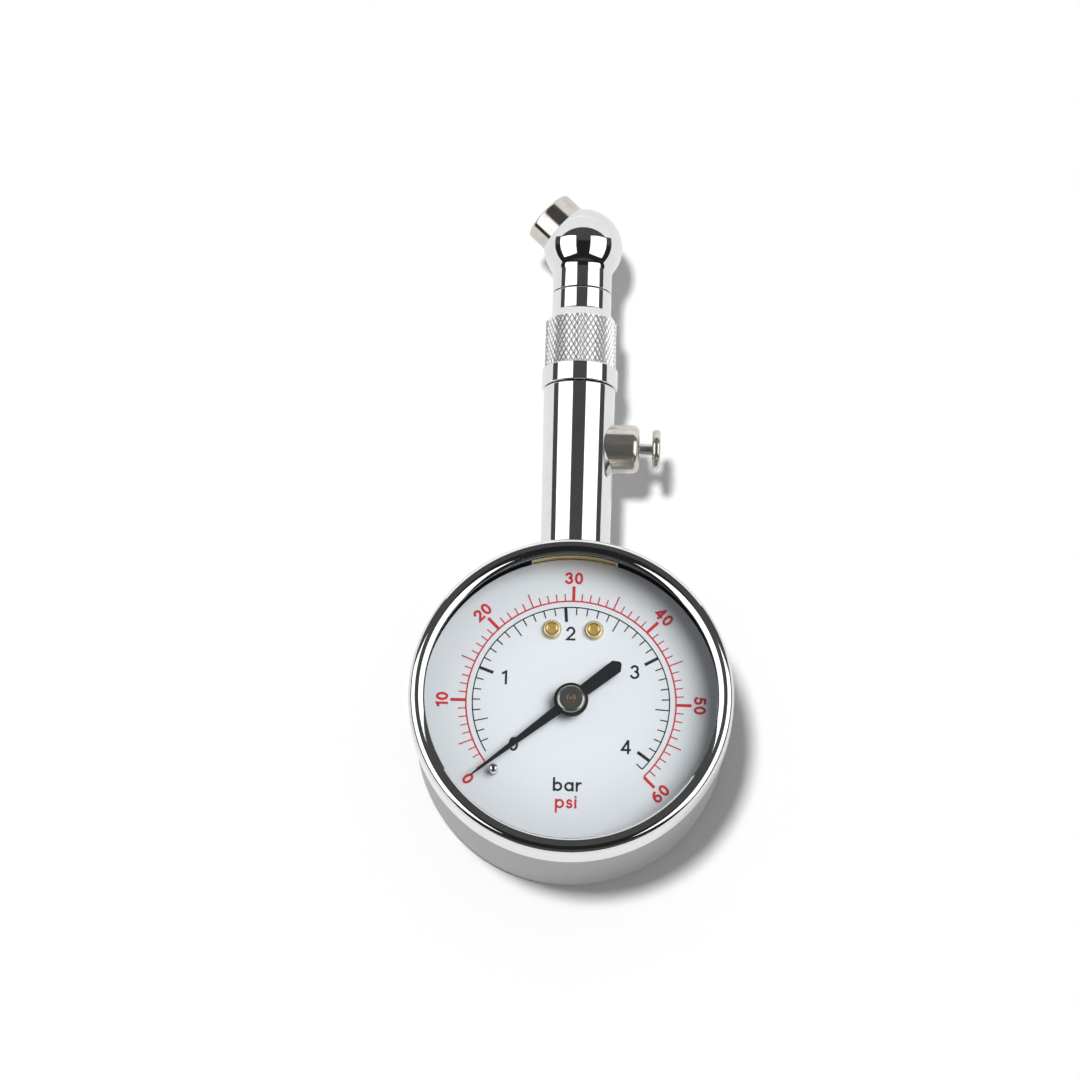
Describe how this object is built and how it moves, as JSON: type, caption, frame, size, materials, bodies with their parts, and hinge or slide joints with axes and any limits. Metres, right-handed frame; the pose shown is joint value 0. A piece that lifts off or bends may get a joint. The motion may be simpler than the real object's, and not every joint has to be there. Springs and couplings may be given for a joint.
{
  "type": "tyre pressure gauge",
  "caption": "Hand-held tyre pressure gauge: round dial in a chromed case, straight stem with a push-button bleed valve, knurled collar and swivelling angle chuck.",
  "frame": {"origin": "centre of the flat back face of the case", "axes": "+Z out of the dial, +Y along the stem towards the chuck, +X towards the bleed valve"},
  "size_m": [0.064, 0.1415, 0.035],
  "materials": {
    "chrome": "polished chrome plate",
    "satin_case": "satin chrome plate on drawn steel",
    "satin_nickel": "satin nickel plate, slightly warm",
    "dark_nickel": "dark nickel plate",
    "steel": "turned steel",
    "brass": "machined brass",
    "bronze": "drawn phosphor bronze",
    "dial": "matt white enamel with printed scales",
    "black_paint": "matt black",
    "rubber": "moulded black rubber",
    "glass": "flat clear glass"
  },
  "bodies": {
    "gauge": {"case_cup": "satin_case", "case_screws": "steel", "bezel_ring": "chrome", "lens": "glass", "lens_gasket": "rubber", "dial_plate": "dial", "dial_screws": "brass", "dial_washers": "steel", "stop_pin": "chrome", "socket_block": "brass", "bourdon_tube": "bronze", "hairspring": "bronze", "hairspring_stud": "brass", "back_plate": "brass", "front_plate": "brass", "movement_pillars": "brass", "movement_screws": "steel", "stem_tube": "chrome", "bleed_body": "satin_nickel", "bleed_spring": "steel", "swivel_seal": "rubber"},
    "pointer_group": {"pointer": "black_paint", "pointer_cap": "dark_nickel", "pinion_arbor": "steel"},
    "sector": {"sector_gear": "brass", "sector_arbor": "steel", "sector_pin": "steel"},
    "link": {"link": "steel"},
    "tube_end": {"tube_tip": "brass", "tip_pin": "steel"},
    "bleed_plunger_group": {"bleed_plunger": "steel", "bleed_button": "satin_nickel", "bleed_seal": "rubber"},
    "collar": {"swivel_collar": "chrome", "shank_ring": "rubber"},
    "head": {"ball_head": "chrome", "swivel_shank": "brass", "chuck_nozzle": "satin_nickel", "valve_seal": "rubber", "depressor_pin": "steel"}
  },
  "joints": [
    {"name": "pointer_turn", "type": "hinge", "parent": "gauge", "child": "pointer_group", "pos_m": [0, 0, 0.028], "axis": [0, 0, -1], "range_deg": [0, 264], "stiffness_Nm_per_rad": 0.000001},
    {"name": "sector_swing", "type": "hinge", "parent": "gauge", "child": "sector", "pos_m": [-0.014, -0.00449, 0.02], "axis": [0, 0, 1], "range_deg": [0, 44]},
    {"name": "link_swing", "type": "hinge", "parent": "sector", "child": "link", "pos_m": [-0.0184, -0.00356, 0.0208], "axis": [0, 0, 1], "range_deg": [-44, 0]},
    {"name": "tip_travel", "type": "slide", "parent": "gauge", "child": "tube_end", "axis": [0.1736, -0.9848, 0], "range_m": [0, 0.00337], "stiffness_N_per_m": 200, "deforming": ["bourdon_tube"]},
    {"name": "bleed_press", "type": "slide", "parent": "gauge", "child": "bleed_plunger_group", "axis": [-1, 0, 0], "range_m": [0, 0.0018], "stiffness_N_per_m": 400, "springref_m": -0.002, "deforming": ["bleed_spring"]},
    {"name": "collar_turn", "type": "hinge", "parent": "gauge", "child": "collar", "pos_m": [0, 0.08, 0.017], "axis": [0, 1, 0], "range_deg": [0, 90]},
    {"name": "head_swivel", "type": "hinge", "parent": "gauge", "child": "head", "pos_m": [0, 0.09, 0.017], "axis": [0, 1, 0], "continuous": true}
  ],
  "couplings": [
    {"joint": "pointer_turn", "follows": "tip_travel", "rad_per_m": 1366.8},
    {"joint": "sector_swing", "follows": "tip_travel", "rad_per_m": 227.81},
    {"joint": "link_swing", "follows": "tip_travel", "rad_per_m": -227.81}
  ]
}
